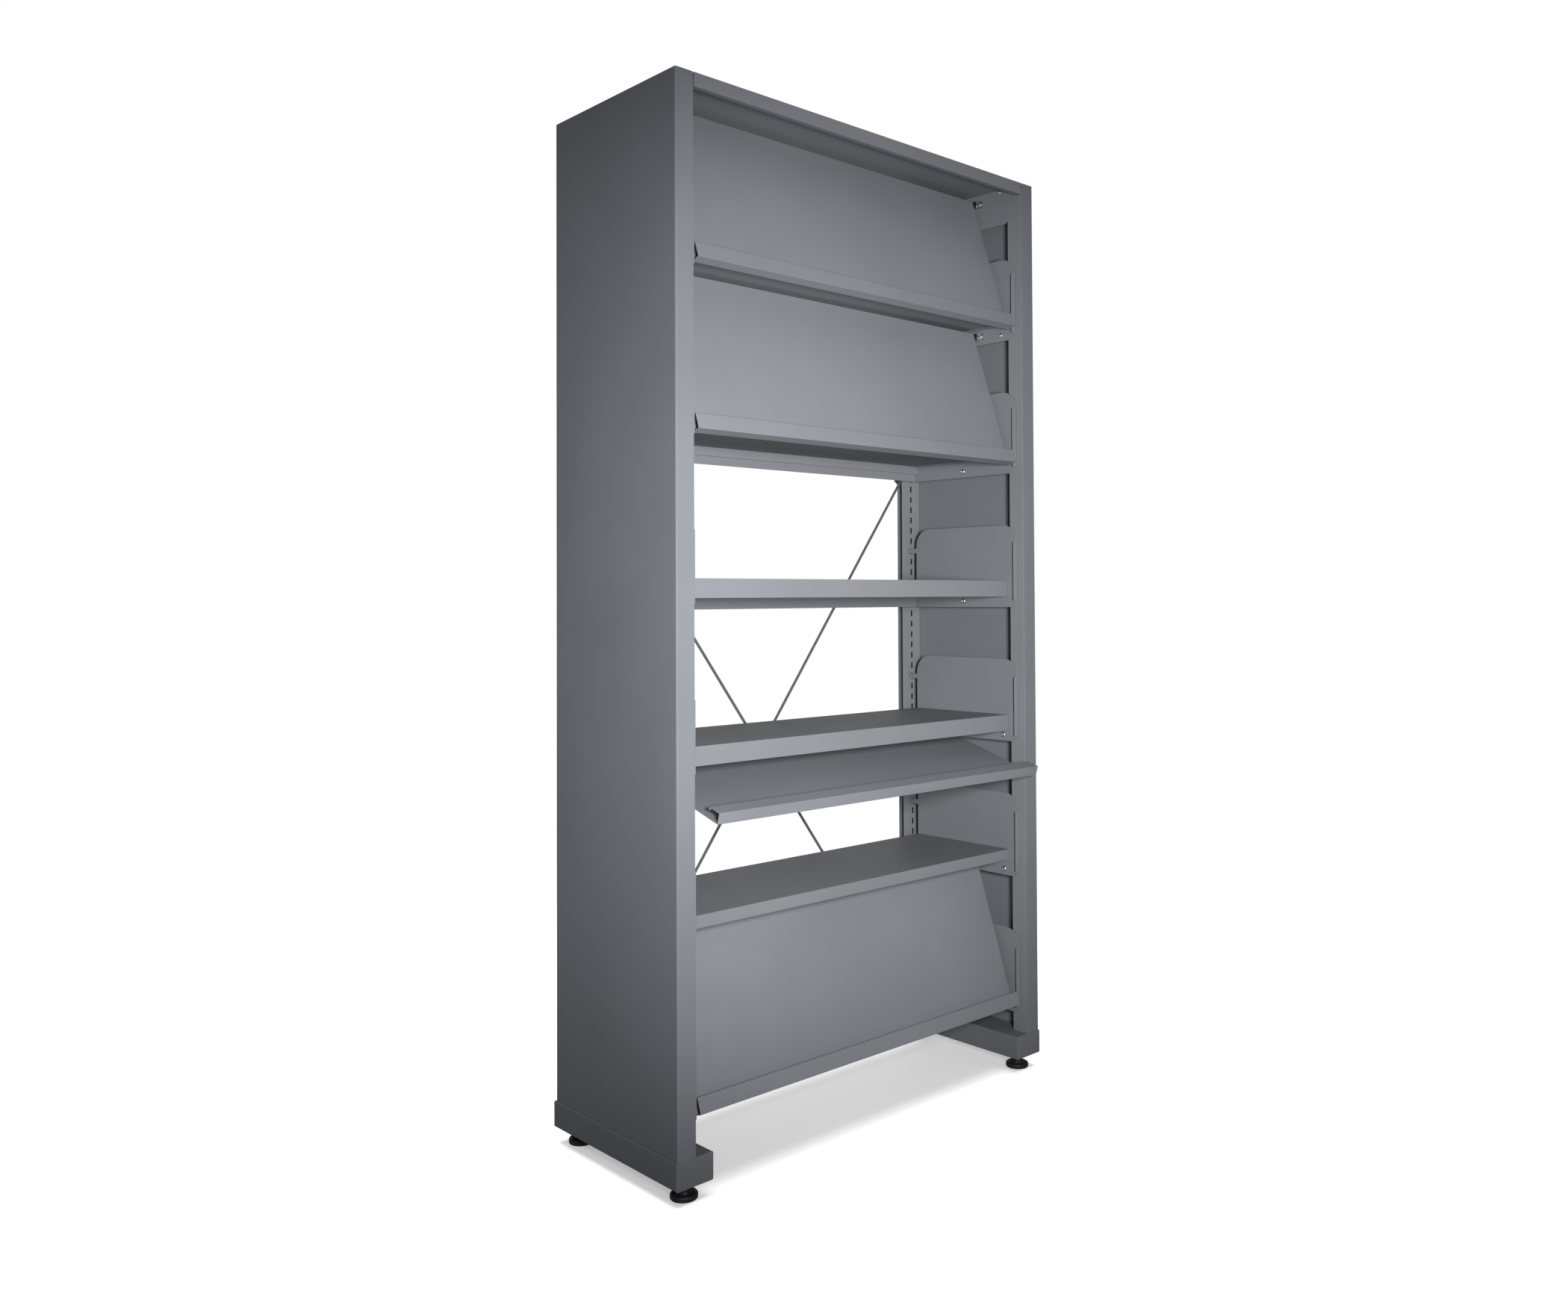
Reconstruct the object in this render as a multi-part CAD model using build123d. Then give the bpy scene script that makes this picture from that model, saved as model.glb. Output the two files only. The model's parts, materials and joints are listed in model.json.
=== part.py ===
"""Library newspaper and periodical rack: steel side frames, six shelves, four lift-up display flaps.

Frame of the model, in millimetres: +X to the user's right, -Y to the front, +Z up. The origin is on
the floor, under the middle of the whole outline with its one raised flap.

Most helpers take "a", the distance in from a side frame's outer face, and "d", the depth behind the
front plane of the side frames. The functions x_at() and y_at() turn those into X and Y.
"""
from build123d import *
from math import cos, hypot, radians, sin, tan
import os

# ---- driving dimensions -------------------------------------------------------------------------
WIDTH = 1000.0                 # over the side frames
DEPTH = 400.0                  # of the side frames
HEIGHT = 2000.0
FOOT_HEIGHT = 30.0             # floor to the underside of the base beams
BEAM_HEIGHT = 50.0
BEAM_WIDTH = 80.0
BEAM_OVERHANG = 3.0            # base beam proud of the frame's outer and rear faces
LOWEST_SHELF = 182.6           # top face of the lowest shelf
SHELF_PITCH = 304.8            # twelve slots
SHELF_COUNT = 6
SHEET = 1.2                    # shelves, skins, flaps and cover
PLATE = 2.0                    # posts and brackets
GAP = 0.3                      # running gap between moving pieces

# ---- side frames --------------------------------------------------------------------------------
SKIN_RETURN = 37.7
SKIN_BEND = 3.0
POST_INNER = 40.0              # a of the post's inner face
POST_DEPTH = 38.5
POST_OUTER = 3.0
POST_SETBACK = 1.5
SLOT_PITCH = 25.4
SLOT_HEIGHT = 14.0
SLOT_A = (28.0, 34.0)
FIRST_SLOT = 106.4
REAR_FLANGE_A = 62.0           # a of the edge of the rear post's inward flange

# ---- brackets and shelves -----------------------------------------------------------------------
BRACKET_A = (42.0, 44.0)
BRACKET_D = (18.0, 331.0)
BRACKET_UP = 127.0             # above the shelf's top face
BRACKET_DOWN = 60.0
BRACKET_CORNER = 40.0
BRACKET_CHAMFER = 14.0
FLANGE_WIDTH = 12.0
LEDGE_WIDTH = 10.0
HOOK_HEIGHTS = (76.2, -25.4)   # above the shelf's top face
HOOK_TALL = 11.0
SHELF_A = 45.5
SHELF_D = (45.0, 326.0)
LIP_HEIGHT = 36.0
FLAP_SHELF_LIP = 23.5          # the shallower front lip of a shelf that carries a flap in front
REAR_LIP = 42.0
REAR_RAIL = 60.0               # bottom of the joggled rear rail, below the top face
SIDE_FLANGE = 24.0
FRONT_RETURN = 12.0            # of the front lip, folded back under the shelf
RAIL_JOGGLE = 5.0              # of the rear rail, behind the rear lip
HAT_D = (165.0, 205.0)         # stiffener under the shelf
HAT_HEIGHT = 12.0
UNDER_SHEET = 23.5             # the closing sheet's underside, below the shelf's top face
UNDER_SHEET_A = 56.0

# ---- top cover and its brackets -----------------------------------------------------------------
COVER_A = 40.6
COVER_BAND = 26.0              # height of the folded band
COVER_RETURN = 12.0
COVER_FLANGE_D = (50.0, 350.0)
COVER_FLANGE = 20.0
COVER_SCREW_D = (60.0, 300.0)
COVER_SCREW_Z = HEIGHT - 9.5
TOP_BRACKET_D = (30.0, 331.0)
TOP_BRACKET_Z = (1915.0, 1997.0)
TOP_HOOK_SLOTS = (72, 73)      # post slots that the top bracket hooks into

# ---- display flaps ------------------------------------------------------------------------------
FLAP_A = 56.0
FLAP_LEAN = 18.5               # closed flap, degrees back from upright
FLAP_RAISED = 16.5             # raised flap, degrees below level
TRAY_DEPTH = 20.0
TRAY_LIP = 30.0
PLATE_AT_SHELF = 41.4          # d of the closed flap's face at the shelf's top face
PLATE_BELOW_SHELF = 43.0       # the flap's lower edge below the shelf's top face
PIN_ABOVE_SHELF = 264.0
PIN_BEHIND = 7.0               # pin axis behind the flap's face
PIN_R = 3.0
PIN_RAISED_D = 272.0           # d of the pins with the flap raised
PIN_BORE_R = PIN_R + 0.05
PIN_HEAD_R = 4.5
PIN_HEAD_THICK = 3.0

# ---- guide tracks and shoes ---------------------------------------------------------------------
TRACK_D = (122.0, 302.0)
TRACK_A = (44.2, 54.2)
TRACK_WALL = 1.6
SHOE_HALF_HEIGHT = 6.0
SHOE_HALF_LENGTH = 8.0
SHOE_A = (46.2, 53.8)
TRACK_TAB = 10.0
RIVET_R = 2.0

# ---- bracket screws -----------------------------------------------------------------------------
SCREW_R = 6.0
SCREW_HEAD = 4.0
SCREW_D = (60.0, 178.0)        # beside a guide track, and on a plain bracket
SCREW_BELOW_SHELF = 46.0

# ---- levelling feet -----------------------------------------------------------------------------
FOOT_A = 37.0
FOOT_D = (33.0, 367.0)
PAD_R = 25.0
HUB_R = 12.0
STUD_R = 6.0
STUD_BORE_R = STUD_R + 0.05
STUD_TOP = 70.0
PAD_BORE_Z = 5.0               # bottom of the hub's bore
HUB_TOP = 20.0
NUT_CORNER_R = 10.4
LOCKNUT_HEIGHT = 6.0
FOOT_NUT_HEIGHT = 10.0

# ---- rear cross brace ---------------------------------------------------------------------------
ROD_R = 3.0
BRACE_LOW = 122.5
BRACE_HIGH = 1342.5
BRACE_A = 56.0                 # a of the rod ends
BRACE_D = (374.0, 383.0)       # one rod passes behind the other

# ---- derived ------------------------------------------------------------------------------------
HALF_WIDTH = WIDTH / 2
BEAM_TOP = FOOT_HEIGHT + BEAM_HEIGHT
SHELF_TOPS = [LOWEST_SHELF + SHELF_PITCH * k for k in range(SHELF_COUNT)]
LEAN = radians(FLAP_LEAN)
FLAP_LENGTH = ((PIN_ABOVE_SHELF + PIN_BEHIND * sin(LEAN)) + PLATE_BELOW_SHELF) / cos(LEAN)
PIN_FACE_RISE = PIN_ABOVE_SHELF + PIN_BEHIND * sin(LEAN)
PIN_CLOSED_D = PLATE_AT_SHELF + PIN_FACE_RISE * tan(LEAN) + PIN_BEHIND * cos(LEAN)
SWING_DEGREES = 90 - FLAP_LEAN - FLAP_RAISED
SLIDE_TRAVEL = PIN_RAISED_D - PIN_CLOSED_D
RAISED_FRONT_D = (PIN_RAISED_D - FLAP_LENGTH * cos(radians(FLAP_RAISED))
                  - (PIN_BEHIND + TRAY_DEPTH) * sin(radians(FLAP_RAISED)))
MIDDLE_D = (RAISED_FRONT_D + DEPTH + BEAM_OVERHANG) / 2

# The shelf that each flap closes, counted from the lowest, and whether it stands raised.
FLAPS = {"flap_1": (5, False), "flap_2": (4, False), "flap_5": (1, True), "flap_6": (0, False)}
# How far above the standard place each flap hangs.
FLAP_LIFTS = {"flap_1": 4.0, "flap_2": 0.0, "flap_5": 0.0, "flap_6": 0.0}
SIDES = {"left": -1, "right": 1}


def x_at(side, a):
    return side * (HALF_WIDTH - a)


def y_at(d):
    return d - MIDDLE_D


def block(x_range, y_range, z_range):
    """A box between two corners, given as ranges."""
    size = [abs(high - low) for low, high in (x_range, y_range, z_range)]
    centre = [(low + high) / 2 for low, high in (x_range, y_range, z_range)]
    return Pos(*centre) * Box(*size)


def side_block(side, a_range, d_range, z_range):
    """A box placed by its distance in from a side frame's outer face and its depth."""
    x_range = [x_at(side, a) for a in a_range]
    return block(x_range, [y_at(d) for d in d_range], z_range)


def full_block(a, d_range, z_range):
    """A box across the rack, leaving a at each side."""
    return block((x_at(-1, a), x_at(1, a)), [y_at(d) for d in d_range], z_range)


def rod(start, end, radius):
    """A round bar between two points."""
    axis = Vector(*end) - Vector(*start)
    plane = Plane(origin=start, z_dir=axis)
    return extrude(plane * Circle(radius), axis.length)


def cross_rod(side, a_range, d, z, radius):
    """A round bar along X."""
    start = (x_at(side, a_range[0]), y_at(d), z)
    end = (x_at(side, a_range[1]), y_at(d), z)
    return rod(start, end, radius)


def round_edges(part, axis, points, radius):
    """Fillets the edges along an axis that pass nearest to the given points."""
    edges = part.edges().filter_by(axis)
    picked = [min(edges, key=lambda edge: (edge.center() - Vector(*point)).length) for point in points]
    return fillet(picked, radius)


# ---- side frames --------------------------------------------------------------------------------
def side_skin(side):
    """One folded sheet: outer face, front and rear returns and a top return."""
    z_range = (BEAM_TOP, HEIGHT)
    middle_z = sum(z_range) / 2
    outer = side_block(side, (0, SKIN_RETURN), (0, DEPTH), z_range)
    corners = [(x_at(side, 0), y_at(d), middle_z) for d in (0, DEPTH)]
    outer = round_edges(outer, Axis.Z, corners, SKIN_BEND)
    hollow_d = (SHEET, DEPTH - SHEET)
    hollow = side_block(side, (SHEET, SKIN_RETURN + 1), hollow_d, (BEAM_TOP - 1, HEIGHT - SHEET))
    corners = [(x_at(side, SHEET), y_at(d), middle_z) for d in hollow_d]
    hollow = round_edges(hollow, Axis.Z, corners, SKIN_BEND - SHEET)
    return outer - hollow


def post(side, front):
    """A slotted channel. Its slotted web looks into the rack's depth; a rear post's web runs on inwards."""
    z_range = (BEAM_TOP, HEIGHT - SHEET - GAP)
    near, far = POST_SETBACK, POST_SETBACK + POST_DEPTH
    depths = (near, far) if front else (DEPTH - far, DEPTH - near)
    body = side_block(side, (POST_OUTER, POST_INNER), depths, z_range)
    core_d = (depths[0] + PLATE, depths[1] - PLATE)
    body -= side_block(side, (POST_OUTER - 1, POST_INNER - PLATE), core_d, (BEAM_TOP - 1, HEIGHT))
    if not front:
        body += side_block(side, (POST_INNER, REAR_FLANGE_A), (depths[0], depths[0] + PLATE), z_range)
    web_d = (depths[1] - PLATE - 1, depths[1] + 1) if front else (depths[0] - 1, depths[0] + PLATE + 1)
    count = int((z_range[1] - FIRST_SLOT - SLOT_HEIGHT) / SLOT_PITCH) + 1
    middles = [FIRST_SLOT + SLOT_PITCH * k for k in range(count)]
    slots = [side_block(side, SLOT_A, web_d, (z - SLOT_HEIGHT / 2, z + SLOT_HEIGHT / 2)) for z in middles]
    return body - slots


def base_beam(side):
    """A rectangular tube under the side frame, with a hole for each levelling stud."""
    a_range = (-BEAM_OVERHANG, BEAM_WIDTH - BEAM_OVERHANG)
    d_range = (PLATE, DEPTH + BEAM_OVERHANG - PLATE)
    z_range = (FOOT_HEIGHT, BEAM_TOP)
    body = side_block(side, a_range, d_range, z_range)
    corners = [(x_at(side, a), y_at(sum(d_range) / 2), z) for a in a_range for z in z_range]
    body = round_edges(body, Axis.Y, corners, SKIN_BEND)
    inner_a = (a_range[0] + PLATE, a_range[1] - PLATE)
    inner_z = (z_range[0] + PLATE, z_range[1] - PLATE)
    body -= side_block(side, inner_a, (0, DEPTH + BEAM_OVERHANG), inner_z)
    for d in FOOT_D:
        middle = (x_at(side, FOOT_A), y_at(d), FOOT_HEIGHT)
        body -= Pos(*middle) * Cylinder(STUD_R + 1, 4 * PLATE)
    return body


def beam_cap(side, front):
    """An end cap: a plate over the tube's end and a spigot inside it."""
    a_range = (-BEAM_OVERHANG, BEAM_WIDTH - BEAM_OVERHANG)
    rear_d = DEPTH + BEAM_OVERHANG
    plate_d = (0, PLATE) if front else (rear_d - PLATE, rear_d)
    spigot_d = (PLATE, PLATE + 8) if front else (rear_d - PLATE - 8, rear_d - PLATE)
    face = side_block(side, a_range, plate_d, (FOOT_HEIGHT, BEAM_TOP))
    corners = [(x_at(side, a), y_at(sum(plate_d) / 2), z) for a in a_range for z in (FOOT_HEIGHT, BEAM_TOP)]
    face = round_edges(face, Axis.Y, corners, SKIN_BEND)
    inset = PLATE + GAP
    spigot_a = (a_range[0] + inset, a_range[1] - inset)
    spigot_z = (FOOT_HEIGHT + inset, BEAM_TOP - inset)
    spigot = side_block(side, spigot_a, spigot_d, spigot_z)
    hollow_a = (spigot_a[0] + PLATE, spigot_a[1] - PLATE)
    hollow_z = (spigot_z[0] + PLATE, spigot_z[1] - PLATE)
    return face + (spigot - side_block(side, hollow_a, spigot_d, hollow_z))


# ---- levelling feet -----------------------------------------------------------------------------
def foot_pad(side, d):
    """A round pad with a hub that the stud's foot turns in."""
    rim = [(0, 0), (PAD_R - 2, 0), (PAD_R, 2), (PAD_R, 8), (PAD_R - 3, 11)]
    hub = [(HUB_R, 12), (HUB_R, HUB_TOP), (0, HUB_TOP)]
    face = Plane.XZ * make_face(Polyline(*rim, *hub, close=True))
    pad = revolve(face, Axis.Z, 360)
    bore = rod((0, 0, PAD_BORE_Z), (0, 0, HUB_TOP + 1), STUD_BORE_R)
    return Pos(x_at(side, FOOT_A), y_at(d), 0) * (pad - bore)


def foot_stud(side, d):
    """The threaded stud, drawn at its outer thread size, with a screwdriver slot in its top."""
    bottom = PAD_BORE_Z + GAP
    stud = Pos(0, 0, (bottom + STUD_TOP) / 2) * Cylinder(STUD_R, STUD_TOP - bottom)
    stud = chamfer(stud.edges().sort_by(Axis.Z)[-1], 1)
    stud -= Pos(0, 0, STUD_TOP) * Box(3 * STUD_R, 1.6, 5)
    return Pos(x_at(side, FOOT_A), y_at(d), 0) * stud


def hex_nut(bottom, height):
    nut = Pos(0, 0, bottom) * extrude(RegularPolygon(NUT_CORNER_R, 6), height)
    return nut - Pos(0, 0, bottom + height / 2) * Cylinder(STUD_BORE_R, 2 * height)


def foot_nuts():
    """A locknut under each beam and a nut inside it, on every stud."""
    nuts = []
    for side in SIDES.values():
        for d in FOOT_D:
            place = Pos(x_at(side, FOOT_A), y_at(d), 0)
            nuts.append(place * hex_nut(FOOT_HEIGHT - LOCKNUT_HEIGHT, LOCKNUT_HEIGHT))
            nuts.append(place * hex_nut(FOOT_HEIGHT + PLATE, FOOT_NUT_HEIGHT))
    return nuts


# ---- shelves and brackets -----------------------------------------------------------------------
def hook(side, z, front):
    """An L-shaped tab that passes through a post's slot and drops behind its web."""
    web_face = POST_SETBACK + POST_DEPTH
    out_d = (web_face + 2, web_face + 4)
    nose_d = (web_face - PLATE - 2.5, web_face + 4)
    catch_d = (web_face - PLATE - 2.5, web_face - PLATE - 0.5)
    if not front:
        out_d, nose_d, catch_d = [(DEPTH - far, DEPTH - near) for near, far in (out_d, nose_d, catch_d)]
    z_range = (z - HOOK_TALL / 2, z + HOOK_TALL / 2)
    nose_a = (SLOT_A[0] + 2, SLOT_A[0] + 4)
    tab = side_block(side, (nose_a[0], BRACKET_A[1]), out_d, z_range)
    tab += side_block(side, nose_a, nose_d, z_range)
    tab += side_block(side, nose_a, catch_d, (z_range[0] - 5, z_range[1]))
    if not front:
        tab += side_block(side, BRACKET_A, (BRACKET_D[1] - 1, out_d[1]), z_range)
    return tab


def track_holes(side, z):
    """Rivet holes for a guide track, through the bracket and the track's end tabs."""
    return [cross_rod(side, (BRACKET_A[0] - 1, TRACK_A[1]), d, z, RIVET_R) for d in rivet_depths()]


def rivet_depths():
    return (TRACK_D[0] - TRACK_TAB / 2, TRACK_D[1] + TRACK_TAB / 2)


def shelf_bracket(side, shelf_z, track_z):
    """A plate with rounded upper corners, a front flange, a ledge for the shelf and two hooks each end."""
    low, high = shelf_z - BRACKET_DOWN, shelf_z + BRACKET_UP
    body = side_block(side, BRACKET_A, BRACKET_D, (low, high))
    middle_a = sum(BRACKET_A) / 2
    upper = [(x_at(side, middle_a), y_at(d), high) for d in BRACKET_D]
    body = round_edges(body, Axis.X, upper, BRACKET_CORNER)
    lower = [edge for edge in body.edges().filter_by(Axis.X) if edge.center().Z < low + 1]
    front_lower = min(lower, key=lambda edge: edge.center().Y)
    body = chamfer(front_lower, BRACKET_CHAMFER)
    flange_a = (BRACKET_A[1], BRACKET_A[1] + FLANGE_WIDTH - PLATE)
    flange_z = (low + BRACKET_CHAMFER, high - BRACKET_CORNER)
    body += side_block(side, flange_a, (BRACKET_D[0], BRACKET_D[0] + PLATE), flange_z)
    ledge_z = (shelf_z - SIDE_FLANGE - PLATE, shelf_z - SIDE_FLANGE)
    ledge_a = (BRACKET_A[1], BRACKET_A[1] + LEDGE_WIDTH)
    body += side_block(side, ledge_a, (SHELF_D[0] + 5, SHELF_D[1] - 5), ledge_z)
    for height in HOOK_HEIGHTS:
        body += hook(side, shelf_z + height, True)
        body += hook(side, shelf_z + height, False)
    if track_z:
        body -= track_holes(side, track_z)
    return body


def shelf(shelf_z, lip_height):
    """A folded pan with a stiffener in it, a joggled rear rail and a sheet closing its underside."""
    near, far = SHELF_D
    body = full_block(SHELF_A, SHELF_D, (shelf_z - SHEET, shelf_z))
    body += full_block(SHELF_A, (near, near + SHEET), (shelf_z - lip_height, shelf_z))
    return_z = (shelf_z - lip_height, shelf_z - lip_height + SHEET)
    body += full_block(SHELF_A, (near, near + FRONT_RETURN), return_z)
    under_z = (shelf_z - UNDER_SHEET, shelf_z - UNDER_SHEET + SHEET)
    body += full_block(UNDER_SHEET_A, (near, far), under_z)
    body += full_block(SHELF_A, (far - SHEET, far), (shelf_z - REAR_LIP, shelf_z))
    rail_d = (far + RAIL_JOGGLE - SHEET, far + RAIL_JOGGLE)
    body += full_block(SHELF_A, (far - SHEET, rail_d[1]), (shelf_z - REAR_LIP, shelf_z - REAR_LIP + SHEET))
    body += full_block(SHELF_A, rail_d, (shelf_z - REAR_RAIL, shelf_z - REAR_LIP + SHEET))
    for side in SIDES.values():
        body += side_block(side, (SHELF_A, SHELF_A + SHEET), (near, far), (shelf_z - SIDE_FLANGE, shelf_z))
    hat_z = (shelf_z - SHEET - HAT_HEIGHT, shelf_z - SHEET)
    hat = full_block(SHELF_A + 20, HAT_D, hat_z)
    hat -= full_block(SHELF_A + 10, (HAT_D[0] + SHEET, HAT_D[1] - SHEET), (hat_z[0] + SHEET, hat_z[1] + 1))
    return body + hat


# ---- top cover ----------------------------------------------------------------------------------
def top_cover():
    """A shallow hood between the side frames, with a folded band along its front and its rear."""
    body = full_block(COVER_A, (0, DEPTH), (HEIGHT - SHEET, HEIGHT))
    bands = {(0, SHEET): (0, COVER_RETURN), (DEPTH - SHEET, DEPTH): (DEPTH - COVER_RETURN, DEPTH)}
    for band_d, return_d in bands.items():
        body += full_block(COVER_A, band_d, (HEIGHT - COVER_BAND, HEIGHT))
        body += full_block(COVER_A, return_d, (HEIGHT - COVER_BAND, HEIGHT - COVER_BAND + SHEET))
    for side in SIDES.values():
        flange_a = (COVER_A, COVER_A + SHEET)
        body += side_block(side, flange_a, COVER_FLANGE_D, (HEIGHT - COVER_FLANGE, HEIGHT))
        for d in COVER_SCREW_D:
            body -= cross_rod(side, (COVER_A - 1, COVER_A + 2), d, COVER_SCREW_Z, RIVET_R)
    return body


def top_bracket(side, track_z):
    """The plate under the cover that carries the uppermost flap's track."""
    body = side_block(side, BRACKET_A, TOP_BRACKET_D, TOP_BRACKET_Z)
    lower = [edge for edge in body.edges().filter_by(Axis.X) if edge.center().Z < TOP_BRACKET_Z[0] + 1]
    body = chamfer(lower, BRACKET_CHAMFER)
    for slot in TOP_HOOK_SLOTS:
        z = FIRST_SLOT + slot * SLOT_PITCH
        body += hook(side, z, True)
        body += hook(side, z, False)
    for d in COVER_SCREW_D:
        body -= cross_rod(side, (BRACKET_A[0] - 1, BRACKET_A[1] + 1), d, COVER_SCREW_Z, RIVET_R)
    return body - track_holes(side, track_z)


# ---- guide tracks, shoes and flaps --------------------------------------------------------------
def guide_track(side, z):
    """A channel that opens towards the flap, closed at both ends, with two riveted end tabs."""
    half = SHOE_HALF_HEIGHT + GAP + TRACK_WALL
    body = side_block(side, TRACK_A, TRACK_D, (z - half, z + half))
    inner_d = (TRACK_D[0] + TRACK_WALL, TRACK_D[1] - TRACK_WALL)
    inner_z = (z - SHOE_HALF_HEIGHT - GAP, z + SHOE_HALF_HEIGHT + GAP)
    body -= side_block(side, (TRACK_A[0] + TRACK_WALL, TRACK_A[1] + 1), inner_d, inner_z)
    tab_a = (TRACK_A[0], TRACK_A[0] + TRACK_WALL)
    tab_d = (TRACK_D[0] - TRACK_TAB, TRACK_D[1] + TRACK_TAB)
    tabs = side_block(side, tab_a, tab_d, (z - half, z + half))
    tabs -= side_block(side, (TRACK_A[0] - 1, TRACK_A[1]), TRACK_D, (z - half, z + half))
    return body + tabs - track_holes(side, z)


def guide_shoe(side, d, z):
    """A sliding block with rounded ends that carries one flap pin."""
    ends = (d - SHOE_HALF_LENGTH, d + SHOE_HALF_LENGTH)
    body = side_block(side, SHOE_A, ends, (z - SHOE_HALF_HEIGHT, z + SHOE_HALF_HEIGHT))
    middle_x = x_at(side, sum(SHOE_A) / 2)
    corners = [(middle_x, y_at(end), z + up * SHOE_HALF_HEIGHT) for end in ends for up in (-1, 1)]
    body = round_edges(body, Axis.X, corners, SHOE_HALF_HEIGHT - 1)
    return body - cross_rod(side, (SHOE_A[0] - 1, SHOE_A[1] + 1), d, z, PIN_BORE_R)


def flap_profile():
    """The folded sheet's outline, in (forward, up) of the upright flap, with the pin axis at (0, 0)."""
    face = PIN_BEHIND
    top, bottom = 6.0, -FLAP_LENGTH
    lip_top = bottom + TRAY_LIP
    outer = face + TRAY_DEPTH
    hem = 6.0
    return [
        (face - SHEET, top), (face, top), (face, bottom + SHEET), (outer - SHEET, bottom + SHEET),
        (outer - SHEET, lip_top - SHEET), (outer - hem, lip_top - SHEET), (outer - hem, lip_top),
        (outer, lip_top), (outer, bottom), (face - SHEET, bottom)]


def flap_plate():
    """The upright flap about its pin axis: sheet, stiffening fold at the top and an ear at each end."""
    points = [(0, -forward, up) for forward, up in flap_profile()]
    face = make_face(Polyline(*points, close=True))
    half = HALF_WIDTH - FLAP_A
    sheet = Pos(-half, 0, 0) * extrude(face, 2 * half, dir=(1, 0, 0))
    fold = block((-half, half), (-PIN_BEHIND, -PIN_BEHIND + 10), (6 - SHEET, 6))
    ears = []
    for side in SIDES.values():
        x_range = sorted((side * half, side * (half - PLATE)))
        ear = block(x_range, (-PIN_BEHIND + SHEET, 5), (-14, 6 - SHEET))
        ears.append(ear - rod((x_range[0] - 1, 0, 0), (x_range[1] + 1, 0, 0), PIN_R))
    return sheet + fold + ears


def flap_pins():
    """A headed pin through each ear, reaching into its guide shoe."""
    pins = []
    half = HALF_WIDTH - FLAP_A
    for side in SIDES.values():
        tip = side * (HALF_WIDTH - SHOE_A[0] - GAP)
        head_x = side * (half - PLATE - PIN_HEAD_THICK)
        shank = rod((head_x, 0, 0), (tip, 0, 0), PIN_R)
        head = rod((head_x, 0, 0), (side * (half - PLATE), 0, 0), PIN_HEAD_R)
        pins.append(shank + head)
    return pins


def pin_z(flap):
    """Height of a flap's pin axis."""
    return SHELF_TOPS[FLAPS[flap][0]] + PIN_ABOVE_SHELF + FLAP_LIFTS[flap]


def pin_d(flap):
    """Depth of a flap's pin axis, where the flap now stands."""
    return PIN_RAISED_D if FLAPS[flap][1] else PIN_CLOSED_D


def place_flap(part, flap):
    """Moves an upright flap piece to its pins, leaning back when closed or tipped up when raised."""
    tip = 90 - FLAP_RAISED if FLAPS[flap][1] else FLAP_LEAN
    return Pos(0, y_at(pin_d(flap)), pin_z(flap)) * Rot(-tip, 0, 0) * part


# ---- fasteners ----------------------------------------------------------------------------------
def headed_screw(side, d, z, shank_a, head_a, shank_r=RIVET_R - 0.05, head_r=4.0):
    screw = cross_rod(side, shank_a, d, z, shank_r)
    return screw + cross_rod(side, head_a, d, z, head_r)


def track_rivets():
    """Two rivets for each end tab of every guide track."""
    rivets = []
    shank_a = (BRACKET_A[0] - 1.5, TRACK_A[0] + TRACK_WALL)
    head_a = (TRACK_A[0] + TRACK_WALL, TRACK_A[0] + TRACK_WALL + 1.8)
    for flap in FLAPS:
        for side in SIDES.values():
            rivets += [headed_screw(side, d, pin_z(flap), shank_a, head_a) for d in rivet_depths()]
    return rivets


def bracket_screws():
    """A bright dome-headed screw low on every shelf bracket, clear of any guide track."""
    screws = []
    head_a = (BRACKET_A[1], BRACKET_A[1] + SCREW_HEAD)
    for index, shelf_z in enumerate(SHELF_TOPS):
        d = SCREW_D[0] if flap_under(index) else SCREW_D[1]
        z = shelf_z - SCREW_BELOW_SHELF
        screws += [cross_rod(side, head_a, d, z, SCREW_R) for side in SIDES.values()]
    return screws


def cover_screws():
    screws = []
    for side in SIDES.values():
        for d in COVER_SCREW_D:
            screws.append(headed_screw(side, d, COVER_SCREW_Z, (COVER_A, BRACKET_A[1]), (BRACKET_A[1], 47)))
    return screws


def flap_under(index):
    """The flap whose guide tracks hang from this shelf's brackets, if there is one."""
    names = [name for name, place in FLAPS.items() if place[0] == index - 1]
    return names[0] if names else None


# ---- rear cross brace ---------------------------------------------------------------------------
def brace_ends(rising):
    """The two ends of one rod, as (side, z)."""
    return ((-1, BRACE_LOW), (1, BRACE_HIGH)) if rising else ((-1, BRACE_HIGH), (1, BRACE_LOW))


def brace_direction(rising):
    run = 2 * (HALF_WIDTH - BRACE_A)
    rise = BRACE_HIGH - BRACE_LOW
    length = hypot(run, rise)
    return Vector(run / length, 0, (rise if rising else -rise) / length)


def brace_point(rising, end, along=0.0):
    """A point on the rod's axis: end 0 is the left one, along is measured towards the rod's middle."""
    side, z = brace_ends(rising)[end]
    inwards = brace_direction(rising) * (along if end == 0 else -along)
    depth = BRACE_D[0 if rising else 1]
    return Vector(x_at(side, BRACE_A), y_at(depth), z) + inwards


def brace_rod(rising):
    """A tie rod whose threaded ends pass through its lugs."""
    return rod(tuple(brace_point(rising, 0, -12)), tuple(brace_point(rising, 1, -12)), ROD_R)


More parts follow.
